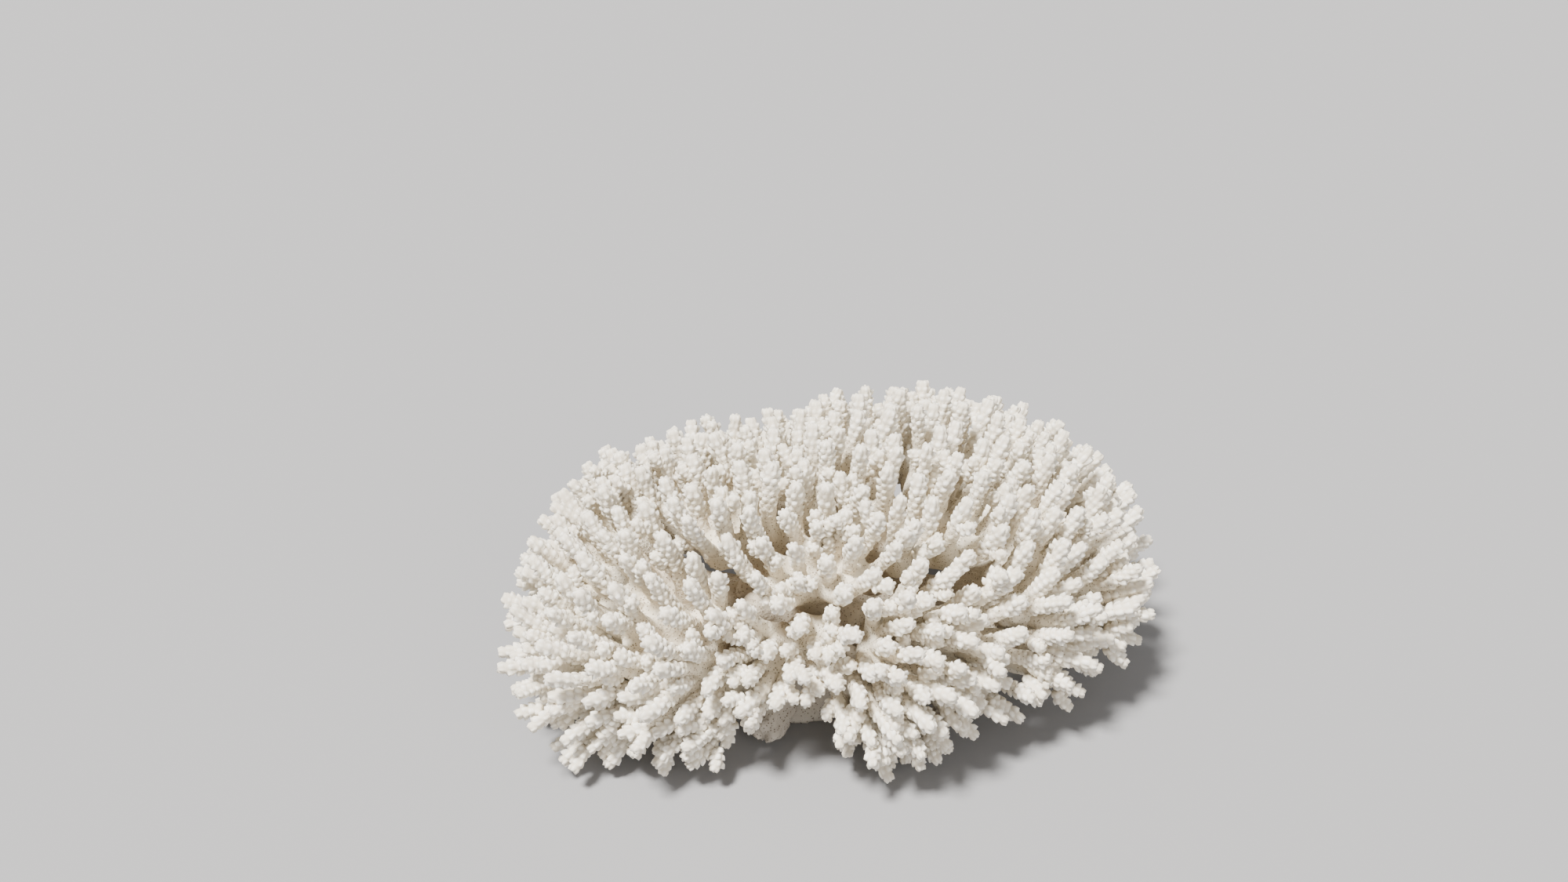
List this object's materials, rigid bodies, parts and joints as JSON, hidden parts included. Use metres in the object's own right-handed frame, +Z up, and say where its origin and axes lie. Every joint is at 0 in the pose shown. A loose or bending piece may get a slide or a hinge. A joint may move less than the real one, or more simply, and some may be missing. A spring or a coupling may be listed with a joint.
{
  "type": "branching coral skeleton",
  "caption": "Bleached white branching coral skeleton, a wide mushroom-shaped crown of scaly fingers on limbs that spread from a short stalk cut flat to stand on.",
  "frame": {"origin": "centre of the stalk's flat cut, on the surface that the coral stands on", "axes": "+X along the crown's long side, -Y towards the front, where the crown has a notch, +Z up out of the cut"},
  "size_m": [0.2683, 0.1906, 0.1194],
  "materials": {
    "white_coral": "matt, bleached",
    "stalk_coral": "matt, porous",
    "broken_coral": "matt, broken and stained"
  },
  "bodies": {
    "root": {"stalk": "stalk_coral", "broken_stub": "broken_coral", "crown_front": "white_coral", "crown_left": "white_coral", "crown_back": "white_coral", "crown_right": "white_coral", "right_limb": "white_coral", "back_right_limb": "white_coral", "back_limb": "white_coral", "back_left_limb": "white_coral", "left_limb": "white_coral", "front_left_limb": "white_coral", "lower_left_limb": "white_coral", "front_limb": "white_coral", "front_right_limb": "white_coral", "lower_front_limb": "white_coral", "lower_right_limb": "white_coral"}
  },
  "joints": []
}
